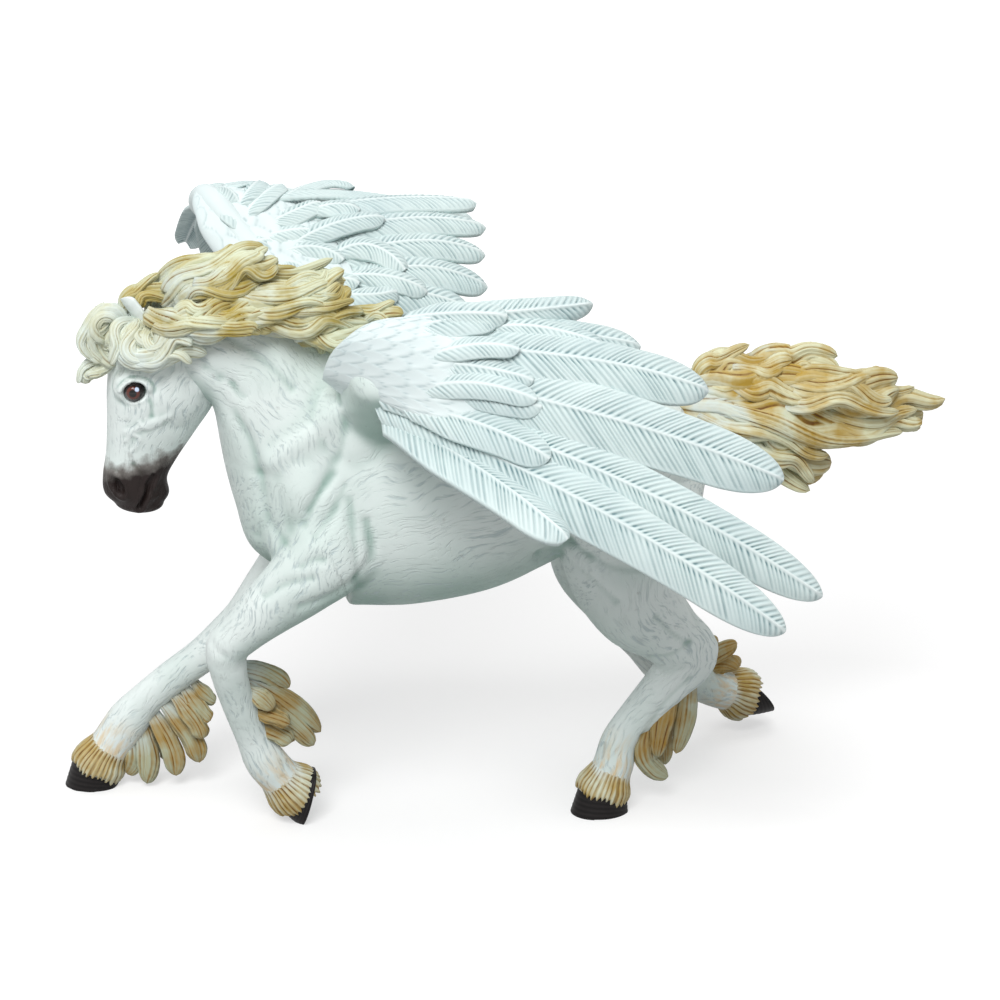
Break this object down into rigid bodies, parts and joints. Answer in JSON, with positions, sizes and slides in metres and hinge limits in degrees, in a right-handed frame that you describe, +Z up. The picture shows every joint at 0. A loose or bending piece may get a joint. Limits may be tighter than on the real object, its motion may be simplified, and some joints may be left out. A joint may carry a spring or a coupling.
{
  "type": "winged horse figurine",
  "caption": "Winged horse figurine at a gallop, with raised and trailing feathered wings, flowing mane and tail and feathered fetlocks, standing on its hooves.",
  "frame": {"origin": "on the floor under the middle of the figure's box", "axes": "+X from the head to the tail, +Y away from the near (left) side, +Z up"},
  "size_m": [0.2068, 0.1684, 0.1403],
  "materials": {
    "white_vinyl": "moulded vinyl, painted by hand in matt white with washes of grey-green and gold",
    "gold_hair": "the same vinyl painted cream with an ochre and gold wash, on the mane, the tail and the feathering of the fetlocks",
    "black_hoof": "the same vinyl painted satin black",
    "gloss_eye": "red-brown, black and white paint under a drop of clear gloss"
  },
  "bodies": {
    "root": {"pegasus_figurine": "white_vinyl"}
  },
  "joints": []
}
